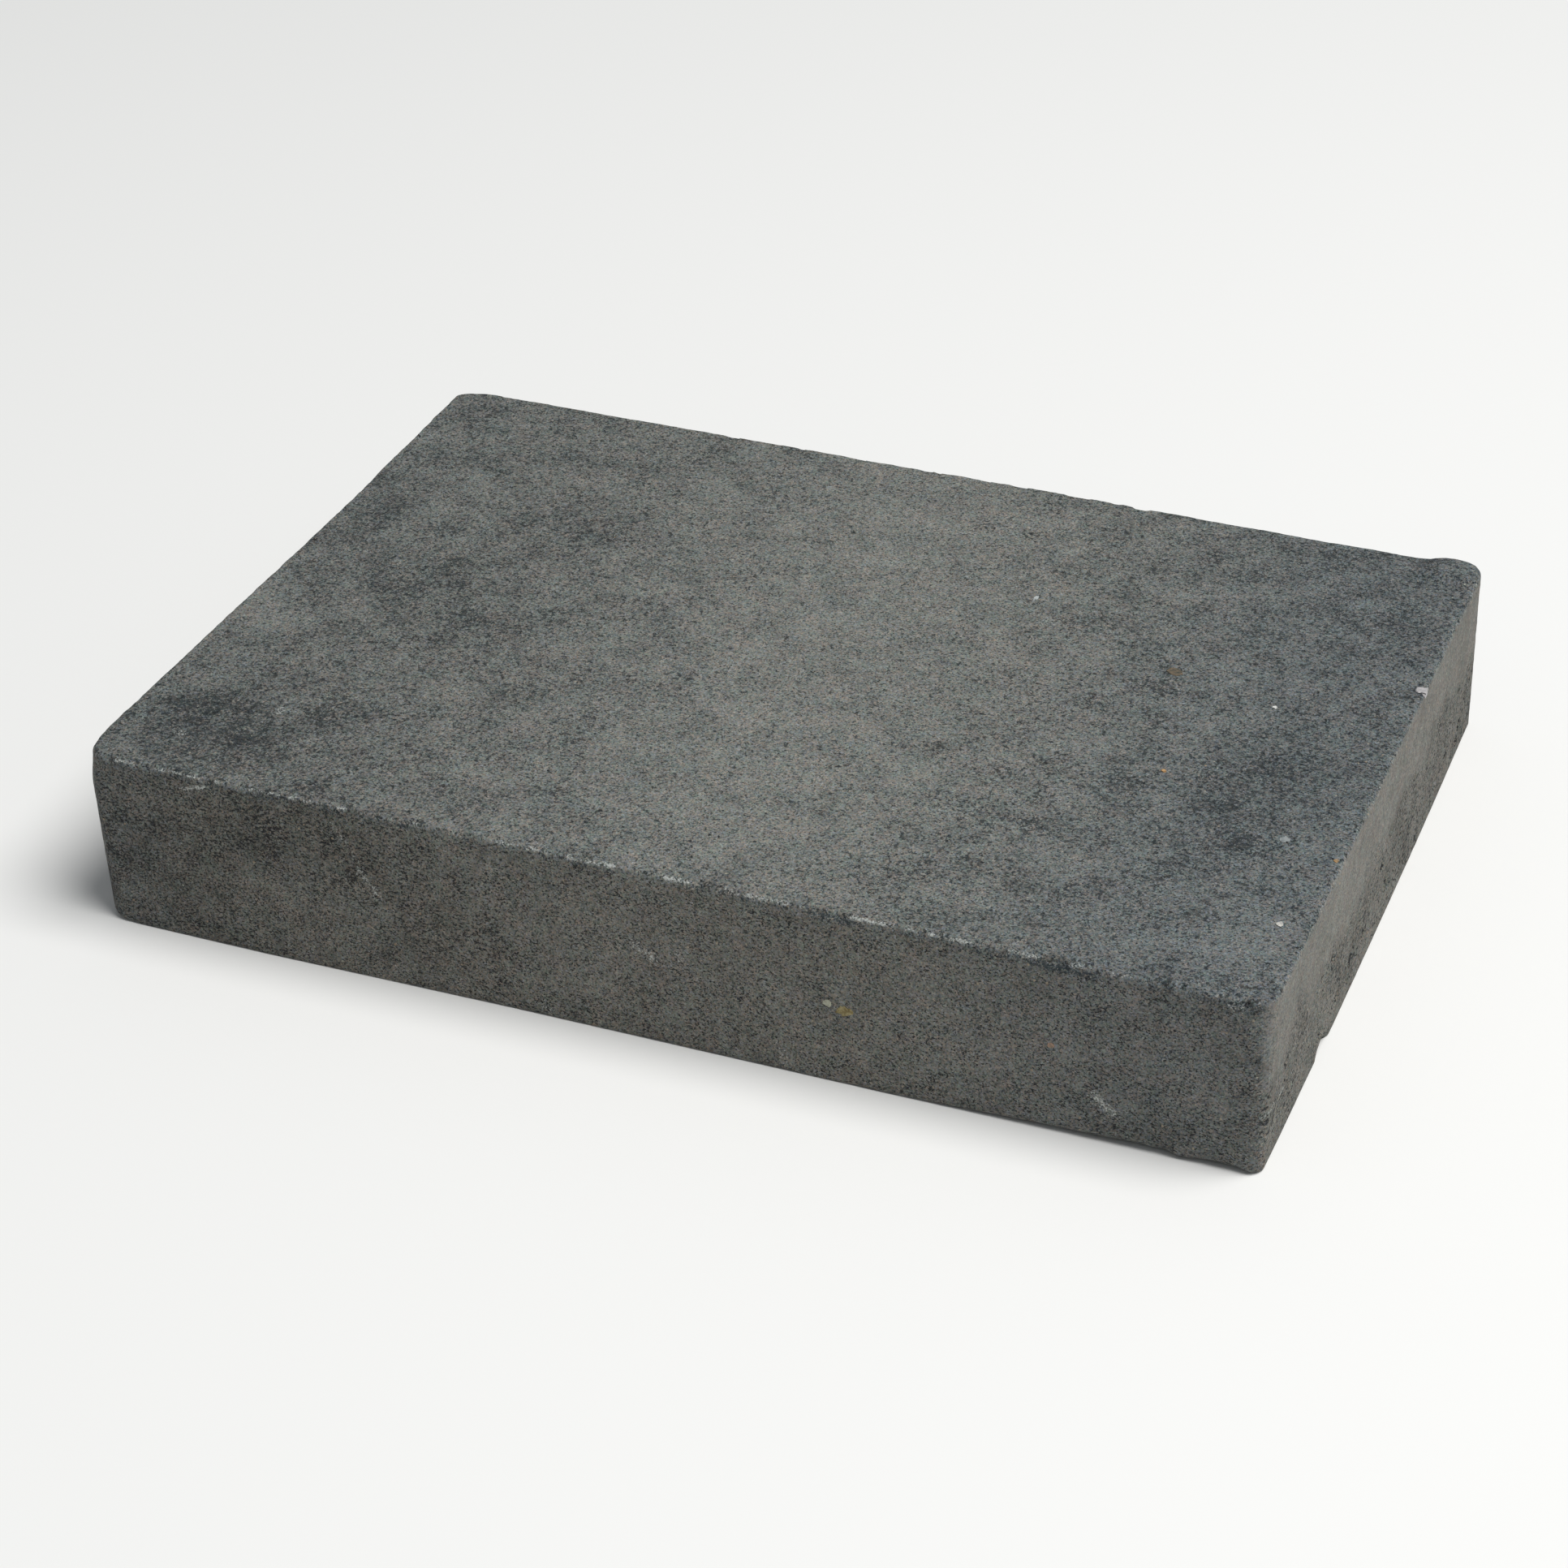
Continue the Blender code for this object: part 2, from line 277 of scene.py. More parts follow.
# compact clusters of dark grit on the top: x, y, radius, strength
topClusters = [
    (-72, 9, 2.4, 1), (-47, 59, 2.2, 1), (-30, 58, 2.6, 0.9), (-26, 51, 1.8, 0.8), (-20, 51, 1.6, 0.8),
    (-35, 33, 2.2, 0.7), (-24, 28, 1.6, 0.7), (-18, -14, 2.2, 0.8), (-29, -25, 1.8, 0.7), (-5, -29, 2.0, 0.8),
    (-28, -39, 2.6, 0.8), (1, -41, 2.0, 1), (-24, -54, 2.0, 1), (-35, 8, 2.4, 0.6), (12, 54, 2.2, 0.9),
    (22, 54, 1.6, 1), (-2, 49, 2.0, 0.7), (39, 26, 2.2, 0.7), (50, 3, 2.4, 0.8), (58, 11, 3.2, 0.8),
    (47, -18, 1.8, 0.9), (42, -23, 2.2, 0.9), (61, -19, 3.4, 0.8), (29, -19, 1.8, 0.8), (51, -37, 2.4, 1),
    (74, -44, 2.2, 0.9), (38, -36, 3.2, 0.7), (36, -57, 3.0, 0.7), (50, -27, 2.2, 0.7), (84, -30, 4.0, 0.8),
    (78, -20, 3.2, 0.7), (82, -8, 4.0, 0.6), (90, 51, 3.0, 0.7), (75, 62, 4.0, 0.6), (55, 57, 2.6, 0.7),
    (-88, -50, 4.0, 0.8), (-70, -45, 3.6, 0.7), (-80, -58, 3.2, 0.7), (-62, -8, 4.0, 0.6),
    (-76, -2, 3.0, 0.6)]

# the same for the long front side, darker towards its left end and lighter across the middle: x, z, radius,
# strength
frontTones = [
    (-97, 14, 10, -0.55), (-72, 24, 12, -0.5), (-50, 22, 8, -0.4), (-82, 3, 9, -0.5),
    (-36, 12, 12, -0.35), (-88, 20, 16, -0.2), (0, 16, 34, 0.25), (45, 20, 22, 0.3),
    (60, 12, 14, 0.25), (80, 4, 7, -0.4), (86, 16, 13, 0.5), (38, 25, 6, -0.25),
    (97, 8, 7, -0.2), (22, 4, 5, 0.3), (76, 8, 3, 0.5), (-62, 28, 10, -0.25)]

# and for the right-hand end: y, z, radius, strength
endStains = [
    (18, 7, 5, -0.6), (12, 15, 4, -0.5), (-12, 9, 5, -0.4), (-20, 6, 5, -0.4), (62, 6, 6, -0.3),
    (-59, 12, 5, -0.3), (-33, 13, 4, -0.3), (0, 4, 60, 0.3), (10, 26, 30, -0.2), (50, 24, 20, -0.25)]

# pale marks on the front side, as lines: from x, z to x, z, half width, strength
frontMarks = [
    (-56.0, 29.0, -50.5, 20.5, 0.55, 0.55), (-51.3, 20.4, -48.6, 16.6, 0.8, 0.8),
    (-83.5, 29.2, -79.0, 30.6, 0.5, 0.9), (-3.2, 18.2, 0.2, 16.0, 0.9, 0.8),
    (4.0, 17.6, 5.0, 17.0, 0.8, 0.6), (73.0, 8.8, 76.2, 6.0, 0.9, 0.9),
    (21.0, 5.0, 22.0, 1.5, 1.0, 0.55), (-20.5, 2.5, -18.5, 1.2, 1.0, 0.6),
    (-46.5, 3.6, -45.5, 1.8, 0.9, 0.5), (93.0, 31.0, 95.0, 30.5, 0.8, 0.6),
    (-66.0, 2.4, -63.5, 1.2, 0.8, 0.5), (50.0, 12.0, 56.0, 10.0, 1.4, 0.25)]

# hairline seam low on the right-hand end: from y, z to y, z, half width, strength
endSeam = [
    (-53.0, 8.2, -56.4, 9.6, 0.5, 0.6), (-56.4, 9.6, -61.3, 10.1, 0.5, 0.6),
    (-61.3, 10.1, -69.4, 11.1, 0.5, 0.75), (-29.0, 7.0, -53.0, 8.2, 0.4, 0.4)]

# pale marks on the top, as lines: from x, y to x, y, half width, strength
topMarks = [
    (-22.0, 36.6, 27.5, 35.2, 0.45, 0.35), (5.0, 35.6, 26.0, 35.1, 0.5, 0.4),
    (31.5, 27.0, 34.5, 25.2, 0.7, 0.6), (-78.0, -46.6, -77.0, -48.0, 0.8, 0.7),
    (-90.5, -59.0, -89.2, -59.6, 0.8, 0.7), (-71.0, 29.5, -69.5, 29.0, 1.0, 0.45)]


def stations(length):
    # steps along a side: fine beside both ends, coarse between them
    marks = [0.0]
    while marks[-1] < length:
        fromEnd = min(marks[-1], abs(length - marks[-1]))
        share = min(max(fromEnd / stone["fineBand"] - 0.8, 0), 1)
        marks.append(marks[-1] + stone["fineCell"] + (stone["coarseCell"] - stone["fineCell"]) * share)
    return np.array(marks) * length / marks[-1]


def pullRim(shape, rim):
    # the open border is pulled out into a new row of faces
    made = bmesh.ops.extrude_edge_only(shape, edges=rim)["geom"]
    verts = [item for item in made if isinstance(item, bmesh.types.BMVert)]
    edges = [item for item in made if isinstance(item, bmesh.types.BMEdge) and item.is_boundary]
    return verts, edges


def layOutBlock():
    # a fine sheet for the top, whose border is pulled down row by row and closed underneath
    xMarks = stations(2 * halfLength) - halfLength
    yMarks = stations(2 * halfWidth) - halfWidth
    zMarks = stations(topHeight)
    columns = len(xMarks) - 1
    rows = len(yMarks) - 1
    shape = bmesh.new()
    bmesh.ops.create_grid(shape, x_segments=columns, y_segments=rows, size=1)
    for vert in shape.verts:
        column = round((vert.co.x + 1) / 2 * columns)
        row = round((vert.co.y + 1) / 2 * rows)
        vert.co = (xMarks[column], yMarks[row], topHeight)
    rim = [edge for edge in shape.edges if edge.is_boundary]
    for height in zMarks[-2::-1]:
        verts, rim = pullRim(shape, rim)
        for vert in verts:
            vert.co.z = height
    for inset in (0.5 * mm, 0.7 * mm, 1.2 * mm, 2.0 * mm):
        verts, rim = pullRim(shape, rim)
        shrink = (1 - inset / halfLength, 1 - inset / halfWidth, 1)
        bmesh.ops.scale(shape, vec=shrink, verts=verts)
    underside = bmesh.ops.contextual_create(shape, geom=rim)["faces"]
    bmesh.ops.recalc_face_normals(shape, faces=shape.faces)
    for face in shape.faces:
        face.smooth = True
    for face in underside:
        face.smooth = False
    return shape


def findRims(places):
    # rounds the plan's corners, and gives each point's distance in from the outline and the way out
    inX = halfLength - np.abs(places[:, 0])
    inY = halfWidth - np.abs(places[:, 1])
    inset = np.minimum(inX, inY)
    outward = np.zeros((len(places), 2))
    nearEnd = inX < inY
    outward[nearEnd, 0] = np.sign(places[nearEnd, 0])
    outward[~nearEnd, 1] = np.sign(places[~nearEnd, 1])
    rise = np.clip(places[:, 2] / topHeight, 0, 1)
    for (sideX, sideY), (upper, foot) in cornerRadii.items():
        radiusX = (foot[0] + (upper[0] - foot[0]) * rise) * mm
        radiusY = (foot[1] + (upper[1] - foot[1]) * rise) * mm
        shareX = 1 - (halfLength - places[:, 0] * sideX) / radiusX
        shareY = 1 - (halfWidth - places[:, 1] * sideY) / radiusY
        near = (shareX > 0) & (shareY > 0)
        radiusX = radiusX[near]
        radiusY = radiusY[near]
        shareX = shareX[near]
        shareY = shareY[near]
        level = np.maximum(shareX, shareY)
        reach = np.hypot(shareX, shareY)
        places[near, 0] = sideX * (halfLength - radiusX + radiusX * shareX * level / reach)
        places[near, 1] = sideY * (halfWidth - radiusY + radiusY * shareY * level / reach)
        inset[near] = (1 - level) * (radiusX + radiusY) / 2
        leanX = sideX * shareX / radiusX
        leanY = sideY * shareY / radiusY
        size = np.hypot(leanX, leanY)
        outward[near, 0] = leanX / size
        outward[near, 1] = leanY / size
    return np.maximum(inset, 0), outward


def roundRim(places, inset, outward, drop, radius):
    # points within the radius of a sharp rim move onto a quarter circle
    near = (inset < radius) & (drop < radius)
    across = (radius - inset)[near]
    down = (radius - drop)[near]
    reach = np.hypot(across, down)
    held = radius[near]
    newInset = held - held * across / reach
    places[near, :2] -= outward[near] * (newInset - inset[near])[:, None]
    newDrop = drop.copy()
    newDrop[near] = held - held * down / reach
    inset[near] = newInset
    return newDrop


def carve(places, normals, centre, radii):
    # points inside an egg-shaped bite sink along their normals to its far wall
    middle = np.array(centre) * mm
    size = np.array(radii) * mm
    away = (places - middle) / size
    inside = (away ** 2).sum(1) < 1
    away = away[inside]
    sink = -normals[inside] / size
    steep = (sink ** 2).sum(1)
    along = (away * sink).sum(1)
    left = (away ** 2).sum(1) - 1
    distance = (-along + np.sqrt(along ** 2 - steep * left)) / steep
    places[inside] -= normals[inside] * distance[:, None]


def softSpots(across, up, spots):
    total = np.zeros(len(across))
    for spotX, spotY, radius, strength in spots:
        far = ((across - spotX) ** 2 + (up - spotY) ** 2) / radius ** 2
        total += strength * np.exp(-far)
    return total


def softLines(across, up, lines):
    total = np.zeros(len(across))
    for startX, startY, endX, endY, halfBreadth, strength in lines:
        run = np.array([endX - startX, endY - startY])
        share = ((across - startX) * run[0] + (up - startY) * run[1]) / (run ** 2).sum()
        share = np.clip(share, 0, 1)
        far = np.hypot(across - startX - run[0] * share, up - startY - run[1] * share)
        total = np.maximum(total, strength * np.exp(-(far / halfBreadth) ** 2))
    return total


def shapeBlock(mesh):
    count = len(mesh.vertices)
    places = np.zeros(count * 3)
    mesh.vertices.foreach_get("co", places)
    places = places.reshape(-1, 3)
    isTop = places[:, 2] > topHeight - 0.001 * mm
    isUnder = places[:, 2] < 0.001 * mm
    inset, outward = findRims(places)
    inset[~(isTop | isUnder)] = 0
    plan = places.copy()
    plan[:, 2] = 0

    # upper rim, uneven from place to place
    uneven = 1 + 0.4 * wobble(plan, 7 * mm, 3.7) + 0.35 * wobble(plan, 1.8 * mm, 9.1)
    rimRadius = stone["rimRadius"] * uneven
    drop = topHeight - places[:, 2]
    newDrop = roundRim(places, inset, outward, drop, rimRadius)
    upper = places[:, 2] > topHeight / 2
    places[upper, 2] = topHeight - newDrop[upper]

    # lower rim
    worn = np.interp(places[:, 0] / mm, *zip(*footWear)) * mm
    share = smoothStep(-outward[:, 1] * 1.4)
    footRadius = stone["footRadius"] + share * (worn - stone["footRadius"])
    footRadius *= 1 + 0.12 * wobble(plan, 5 * mm, 14.2)
    lift = places[:, 2].copy()
    newLift = roundRim(places, inset, outward, lift, footRadius)
    lower = places[:, 2] < topHeight / 2
    places[lower, 2] = newLift[lower]

    # front left corner rubbed back near the top
    depth = topHeight - places[:, 2]
    fromCorner = np.hypot(places[:, 0] + halfLength, places[:, 1] + halfWidth)
    rub = stone["cornerWear"] * smoothStep(1 - depth / stone["cornerWearHeight"])
    rub *= smoothStep(1.25 - fromCorner / stone["cornerWearReach"])
    places[:, :2] += rub[:, None] * np.sqrt(0.5)

    # ridge of pressed-out material on the back right corner
    ridge = stone["ridge"]
    away = ((places[:, 0] / mm - ridge["place"][0]) / ridge["size"][0]) ** 2
    reach = np.clip(1 - away, 0, 1) ** 0.8
    away += ((places[:, 1] / mm - ridge["place"][1]) / ridge["size"][1]) ** 2
    swell = np.clip(1 - away, 0, 1) ** 0.7
    fade = np.clip(1 - depth / ridge["deep"], 0, 1)
    places[:, 2] += ridge["height"] * swell * fade
    behind = smoothStep((places[:, 1] / mm - 62) / 8)
    places[:, 1] += ridge["push"] * reach * behind * fade

    # the sides are not quite straight
    rise = np.clip(places[:, 2] / topHeight, 0, 1)
    pulls = [("left", 0, 1), ("right", 0, 1), ("back", 1, 0), ("front", 1, 0)]
    for side, axis, along in pulls:
        upperBow, footBow = sideBows[side]
        marks = places[:, along] / mm
        atTop = np.interp(marks, *zip(*upperBow))
        atFoot = np.interp(marks, *zip(*footBow))
        bow = (atFoot + (atTop - atFoot) * rise) * mm
        sign = 1 if side in ("right", "back") else -1
        reach = (halfLength, halfWidth)[axis]
        places[:, axis] += sign * bow * np.clip(places[:, axis] * sign / reach, 0, 1) ** 2

    mesh.vertices.foreach_set("co", places.ravel())
    mesh.update()
    normals = np.zeros(count * 3)
    mesh.vertices.foreach_get("normal", normals)
    normals = normals.reshape(-1, 3)
    roughen(places, normals, isUnder)
    mesh.vertices.foreach_set("co", places.ravel())
    mesh.update()
    return places, normals, inset


def roughen(places, normals, isUnder):
    dice = random.Random(41)
    carve(places, normals, *stone["endNotch"])
    carve(places, normals, *stone["leftChip"])
    for along, size in frontNicks:
        middle = (along, -halfWidth / mm, topHeight / mm - 0.2)
        carve(places, normals, middle, (size, 0.9, 0.9 + 0.3 * size))
    # small chips along the edges of each side: the axis across the side, and the way out
    sides = {"front": (1, -1), "back": (1, 1), "right": (0, 1), "left": (0, -1)}
    for side, chips in stone["edgeChips"].items():
        across, sign = sides[side]
        for height in (topHeight / mm, 0.0):
            for chip in range(chips):
                along = dice.uniform(-0.97, 0.97)
                length = dice.uniform(0.5, 2.2)
                deep = dice.uniform(0.35, 0.75) if height else dice.uniform(0.2, 0.4)
                middle = [along * halfLength / mm, along * halfWidth / mm, height]
                middle[across] = sign * (halfLength, halfWidth)[across] / mm
                radii = [length, length, deep]
                radii[across] = deep
                carve(places, normals, middle, radii)
    # open pits in the lower part of both ends
    for pit in range(stone["endPits"]):
        sign = 1 if pit % 2 else -1
        along = dice.uniform(-0.92, 0.92) * halfWidth / mm
        height = dice.triangular(2, 20, 5)
        wide = dice.uniform(0.8, 1.5)
        carve(places, normals, (sign * (halfLength / mm + 0.1), along, height), (0.55, wide, wide * 0.8))
    broad = wobble(places, 28 * mm, 5.3) * stone["undulation"]
    small = wobble(places, 3.1 * mm, 21.7) * stone["roughness"]
    gritty = wobble(places, 1.1 * mm, 33.3) * stone["roughness"] * 0.9
    push = broad + small + gritty
    push[isUnder] = 0
    push *= np.clip(places[:, 2] / (1.0 * mm), 0, 1)
    places += normals * push[:, None]


def lengthsAlong(along, lengths):
    # 1 inside the listed lengths of an edge, 0 between them
    total = np.zeros(len(along))
    for start, end, strength in lengths:
        inside = smoothStep((along - start + 0.5) / 1.0) * smoothStep((end + 0.5 - along) / 1.0)
        total = np.maximum(total, inside * strength)
    return total


mapNames = ("tone", "honed", "chalk", "grime", "ends", "skin", "pitted", "cluster", "cool")

# how far each kind of surface reaches, in mm
weathering = {
    "honedDepth": 1.9,  # the honed look ends this far down the sides, and sooner on the right-hand end
    "honedDepthLess": 0.9,
    "flakeBand": 0.5,
    # a band of painted shade lies this far down the front side, below the upper edge, and spreads this much
    "grimeDepth": 1.3,
    "grimeSpread": 0.8,
    "skinFoot": 13,  # the ends keep a smooth skin above this height
    "skinWaver": 8,
}


def paintBlock(mesh, places, normals, inset):
    # maps that steer the finish: they hold where each kind of surface lies
    x = places[:, 0] / mm
    y = places[:, 1] / mm
    z = places[:, 2] / mm
    depth = topHeight / mm - z
    up = np.clip(normals[:, 2], 0, 1)
    honedDepth = weathering["honedDepth"] - weathering["honedDepthLess"] * np.clip(normals[:, 0], 0, 1)
    honed = np.clip(1.15 - depth / honedDepth, 0, 1)
    side = 1 - smoothStep((up - 0.35) / 0.4)
    onFront = smoothStep(-normals[:, 1] * 1.5 - 0.3) * side
    onRight = smoothStep(normals[:, 0] * 1.5 - 0.3) * side
    ends = smoothStep(np.abs(normals[:, 0]) * 1.6 - 0.45) * side
    tone = (1 - side) * softSpots(x, y, topStains)
    cluster = (1 - side) * softSpots(x, y, topClusters)
    # the front side darker towards its left end
    tone += onFront * softSpots(x, z, frontTones)
    tone += onRight * softSpots(y, z, endStains)
    band = weathering["flakeBand"]
    edgeBand = np.exp(-((inset / mm) / band) ** 2) * np.exp(-(depth / band) ** 2)
    front = y < -halfWidth / mm + 3
    chalk = edgeBand * front * (0.3 + lengthsAlong(x, frontFlakes))
    chalk += 0.3 * edgeBand * ~front
    chalk = np.maximum(chalk, onFront * softLines(x, z, frontMarks))
    chalk = np.maximum(chalk, onRight * softLines(y, z, endSeam))
    chalk = np.maximum(chalk, (1 - side) * softLines(x, y, topMarks))
    # painted shade in a band just below the upper front edge, stronger in the listed lengths
    fromLedgeShade = (depth - weathering["grimeDepth"]) / weathering["grimeSpread"]
    grime = onFront * np.exp(-fromLedgeShade ** 2) * (0.15 + lengthsAlong(x, frontShadows))
    cool = (1 - side) * np.clip(smoothStep((x - 30) / 60) + 0.2 * smoothStep((-70 - x) / 30), 0, 1)
    cool += onFront * np.clip(0.9 * smoothStep((x - 30) / 50) + 0.7 * smoothStep((-78 - x) / 20), 0, 1)
    waver = weathering["skinWaver"] * wobble(places, 9 * mm, 2.2)
    smoothSkin = ends * smoothStep((z - weathering["skinFoot"] + waver) / 8)
    pitted = side * (1 - 0.9 * smoothSkin)
    maps = (tone, honed, chalk, grime, ends, smoothSkin, pitted, cluster, cool)
    for name, values in zip(mapNames, maps):
        layer = mesh.attributes.new(name, "FLOAT", "POINT")
        layer.data.foreach_set("value", values.astype(np.float32))


grit = {
    "fineGrain": 0.26 * mm,  # a coarse grit, about 60 to the inch, drawn at its full size
    "strayGap": 1.0 * mm,  # cells that may hold a stray sand grain
    "relief": 0.09 * mm,
    "topDark": "#5f6265",
    "topMiddle": "#9d9f9d",
    "topLight": "#bfbeb9",
    "sideDark": "#6c6c67",
    "sideMiddle": "#a5a39e",
    "sideLight": "#bebcb7",
    "darkGrain": "#2b3439",
    "tanGrain": "#a58a6c",
    "paleGrain": "#b3b5a6",
    # near black painted into the pores for the shade inside them
    "pore": "#1b1c20",
    "chalk": "#bcbfba",
    "coolTint": "#eff4fb",
}

# uneven patterns all through the block: size in mm along x, y and z, detail, roughness, and a shift
# that keeps them apart
gritClouds = {
    "broad": ((8, 8, 8), 3, 0.6, 0),
    "small": ((1.5, 1.5, 1.5), 2, 0.65, 3),
    "ragged": ((0.45, 0.45, 0.45), 2, 0.7, 7),
    "lumps": ((0.9, 0.9, 0.9), 2, 0.6, 11),
    "lyingPores": ((0.5, 0.5, 0.3), 2, 0.7, 17),
    "uprightPores": ((1.0, 1.0, 0.6), 2, 0.65, 23),
    "crowd": ((5, 5, 5), 1, 0.5, 29),
    "drag": ((0.6, 0.6, 9), 2, 0.6, 31),
    "crumbs": ((0.45, 0.45, 0.45), 3, 0.8, 37),
    "flaking": ((0.36, 0.36, 0.36), 3, 0.8, 41),
    "patches": ((2.6, 2.6, 2.6), 2, 0.6, 47),
}

# how strongly each thing shows: a steady part and the share of each pattern or map in a sum,
# then the sums where it starts and where it is full, and its strength at both
gritMasks = {
    "honedFace": (0, {"honed": 1, "small": 2.2}, (1.5, 1.7, 0, 1)),
    "specks": (-0.1, {"ragged": 1, "broad": 0.2, "tone": 0.07, "cluster": -0.1}, (0.41, 0.38, 0, 0.65)),
    "larger": (-0.09, {"lumps": 1, "broad": 0.18, "tone": 0.063, "cluster": -0.09}, (0.41, 0.38, 0, 0.72)),
    "glints": (0, {"ragged": 1}, (0.6, 0.68, 0, 0.35)),
    "grains": (0, {"skin": 1}, (0, 1, 1, 0.75)),
    "lying": (0.09, {"lyingPores": 1, "crowd": -0.18, "tone": 0.06}, (0.425, 0.39, 0, 1)),
    "upright": (0.144, {"uprightPores": 1, "crowd": -0.288, "tone": 0.096}, (0.42, 0.4, 0, 1)),
    "streaks": (0, {"drag": 1}, (0.35, 0.65, 0.9, 1)),
    # dark grit crumbs everywhere, crowded into painted shade just below the upper front edge
    "packedGrit": (0, {"crumbs": 1, "grime": 0.2}, (0.66, 0.7, 0, 0.8)),
    "flakes": (0, {"flaking": 1, "chalk": 0.28, "shade": 0.08}, (0.71, 0.84, 0, 0.92)),
}


def bondedGrit():
    # vitrified abrasive, pressed in a mould and worn: matt, gritty, cool grey on the honed face
    # and warmer on the moulded sides, with open pores and chalky crumbled edges
    material, tree, shader = newMaterial("bondedGrit")
    place = addNode(tree, "TexCoord").outputs["Object"]
    fine = addNode(tree, "TexVoronoi", {"Scale": 1 / grit["fineGrain"], "Vector": place})
    shades = addNode(tree, "SeparateColor", {"Color": fine.outputs["Color"]})
    patterns = {"shade": shades.outputs["Red"]}
    for name in mapNames:
        patterns[name] = addNode(tree, "Attribute", {"attribute_name": name}).outputs["Fac"]
    for name, (size, detail, roughness, shift) in gritClouds.items():
        spread = addNode(tree, "Mapping", {
            "Vector": place, "Scale": [1 / (length * mm) for length in size], "Location": [shift] * 3})
        patterns[name] = addNode(tree, "TexNoise", {
            "Vector": spread, "Scale": 1.0, "Detail": detail, "Roughness": roughness})
    masks = {}
    for name, (steady, shares, (start, full, low, high)) in gritMasks.items():
        total = steady
        for pattern, share in shares.items():
            total = addNode(tree, "Math", {
                "operation": "MULTIPLY_ADD", 0: patterns[pattern], 1: share, 2: total})
        masks[name] = addNode(tree, "MapRange", {
            "Value": total, "From Min": start, "From Max": full, "To Min": low, "To Max": high})

    # the honed face and the moulded sides, both cloudy
    level = -0.185
    for pattern, share in {"broad": 0.5, "small": 0.5, "ragged": 0.3, "tone": 0.2}.items():
        level = addNode(tree, "Math", {
            "operation": "MULTIPLY_ADD", 0: patterns[pattern], 1: share, 2: level})
    topColour = addNode(tree, "ValToRGB", {"Fac": level}, stops=(
        (0.1, grit["topDark"]), (0.9, grit["topLight"]), (0.5, grit["topMiddle"])))
    sideColour = addNode(tree, "ValToRGB", {"Fac": level}, stops=(
        (0.1, grit["sideDark"]), (0.9, grit["sideLight"]), (0.5, grit["sideMiddle"])))
    onTop = masks["honedFace"]
    onSides = addNode(tree, "Math", {"operation": "SUBTRACT", 0: 1.0, 1: onTop})

    # ragged dark grains on the honed face, crowded together where the tone map is low
    darkTop = addNode(tree, "Math", {"operation": "MAXIMUM", 0: masks["specks"], 1: masks["larger"]})
    darkTop = addNode(tree, "Math", {"operation": "MULTIPLY", 0: darkTop, 1: onTop})
    glints = addNode(tree, "Math", {"operation": "MULTIPLY", 0: masks["glints"], 1: onTop})

    # grains of the abrasive, each with its own shade and a slight cast of green, blue or brown
    grainShade = addNode(tree, "ValToRGB", {"Fac": shades.outputs["Red"]}, stops=(
        (0.0, "#6a6e71"), (1.0, "#ffffff"), (0.12, "#a6a9a9"), (0.45, "#d0d0ce"), (0.88, "#e9e9e6")))
    grainCast = addNode(tree, "ValToRGB", {"Fac": shades.outputs["Green"]}, stops=(
        (0.1, "#dde9e0"), (0.9, "#f5e7dc"), (0.35, "#dde3f3"), (0.6, "#eeece8")))
    patches = addNode(tree, "ValToRGB", {"Fac": patterns["patches"]}, stops=(
        (0.35, "#f1f6f4"), (0.65, "#faf4f2")))

    # open pores in the moulded sides: flat on the long sides, rounder and wider on the ends, painted near
    # black for the shade inside them
    pores = addNode(tree, "Mix", {0: patterns["ends"], 2: masks["lying"], 3: masks["upright"]})
    for limit in (patterns["pitted"], onSides):
        pores = addNode(tree, "Math", {"operation": "MULTIPLY", 0: pores, 1: limit})
    poreShade = addNode(tree, "Math", {"operation": "MULTIPLY", 0: pores, 1: 0.9})

    # stray sand grains in the mix, pale to tan, of uneven outline
    stray = addNode(tree, "TexVoronoi", {"Scale": 1 / grit["strayGap"], "Vector": place})
    sand = addNode(tree, "SeparateColor", {"Color": stray.outputs["Color"]})
    reach = addNode(tree, "Math", {"operation": "MULTIPLY_ADD", 0: patterns["ragged"], 1: 0.4, 2: -0.08})
    reach = addNode(tree, "Math", {
        "operation": "MULTIPLY_ADD", 0: sand.outputs["Blue"], 1: 0.12, 2: reach})
    inside = addNode(tree, "Math", {"operation": "LESS_THAN", 0: stray.outputs["Distance"], 1: reach})
    rare = addNode(tree, "Math", {"operation": "GREATER_THAN", 0: sand.outputs["Red"], 1: 0.955})
    sandShown = addNode(tree, "Math", {"operation": "MULTIPLY", 0: inside, 1: 0.6})
    sandShown = addNode(tree, "Math", {"operation": "MULTIPLY", 0: rare, 1: sandShown})
    sandColour = addNode(tree, "Mix", {
        "data_type": "RGBA", 0: sand.outputs["Green"], 6: grit["tanGrain"], 7: grit["paleGrain"]})

    # the layers from the bottom up: kind, amount, colour
    colour = sideColour
    for kind, amount, over in (
            ("MIX", onTop, topColour),
            ("MIX", darkTop, grit["darkGrain"]),
            ("MIX", glints, grit["topLight"]),
            ("MULTIPLY", masks["grains"], grainShade),
            ("MULTIPLY", masks["grains"], grainCast),
            ("MULTIPLY", 1.0, patches),
            ("MULTIPLY", patterns["cool"], grit["coolTint"]),
            # painted shade inside the open pores
            ("MIX", poreShade, grit["pore"]),
            ("MULTIPLY", onSides, masks["streaks"]),
            ("MIX", sandShown, sandColour),
            # dark grit, and the painted shade below the upper front edge
            ("MIX", masks["packedGrit"], grit["darkGrain"]),
            ("MIX", masks["flakes"], grit["chalk"])):
        colour = addNode(tree, "Mix", {
            "data_type": "RGBA", "blend_type": kind, 0: amount, 6: colour, 7: over})
    tree.links.new(colour.outputs[2], shader.inputs["Base Color"])

